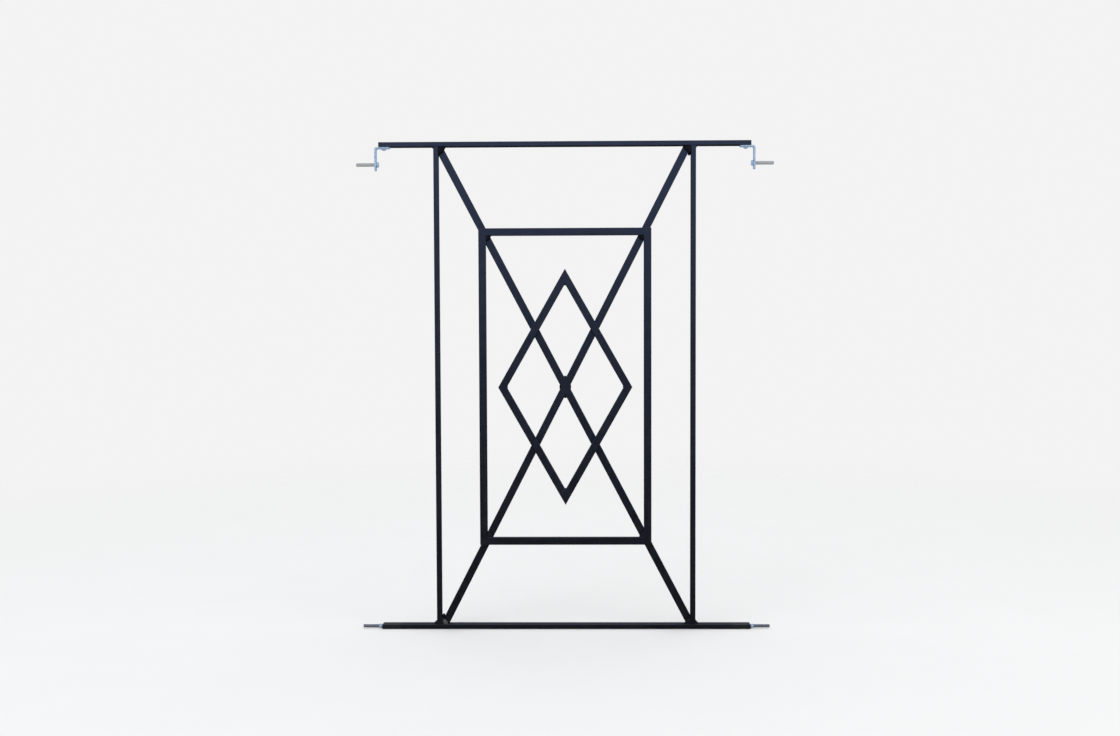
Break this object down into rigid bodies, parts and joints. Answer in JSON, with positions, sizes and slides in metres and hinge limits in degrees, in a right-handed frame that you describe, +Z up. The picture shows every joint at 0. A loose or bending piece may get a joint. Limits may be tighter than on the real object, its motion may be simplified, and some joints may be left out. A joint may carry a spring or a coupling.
{
  "type": "window security grille",
  "caption": "Welded steel window grille: flat-bar frame, crossed diagonals, mitred rectangle and diamond, held in the reveal by two wall pins and two screwed straps.",
  "frame": {"origin": "middle of the window opening's width and of the grille's height, in the mid-plane of its outer frame", "axes": "+X to the right seen from outside, +Y into the building, +Z up"},
  "size_m": [0.893, 0.02, 1.05],
  "materials": {
    "black_paint": "brushed-on semi-gloss black enamel, slightly worn, dusty on top faces",
    "painted_weld": "the same enamel over rippled weld beads, with a little rust",
    "wall_paint": "flat pale blue wall paint brushed over steel",
    "zinc_steel": "zinc plated, dulled",
    "nylon": "light grey nylon"
  },
  "bodies": {
    "root": {"bottom_rail": "black_paint", "centre_weld_beads": "painted_weld", "diagonal_end_weld_beads": "painted_weld", "diamond_lower_left": "black_paint", "diamond_lower_right": "black_paint", "diamond_upper_left": "black_paint", "diamond_upper_right": "black_paint", "diamond_weld_beads": "painted_weld", "inner_frame_bottom": "black_paint", "inner_frame_left": "black_paint", "inner_frame_right": "black_paint", "inner_frame_top": "black_paint", "inner_frame_weld_beads": "painted_weld", "left_bracket": "wall_paint", "left_upright": "black_paint", "left_wall_pin": "zinc_steel", "lower_half_diagonal": "black_paint", "rail_screw_washers": "zinc_steel", "rail_screws": "zinc_steel", "right_bracket": "wall_paint", "right_upright": "black_paint", "right_wall_pin": "zinc_steel", "through_diagonal": "black_paint", "top_rail": "black_paint", "upper_half_diagonal": "black_paint", "upright_weld_beads": "painted_weld", "wall_plugs": "nylon", "wall_screw_washers": "zinc_steel", "wall_screws": "zinc_steel"}
  },
  "joints": []
}
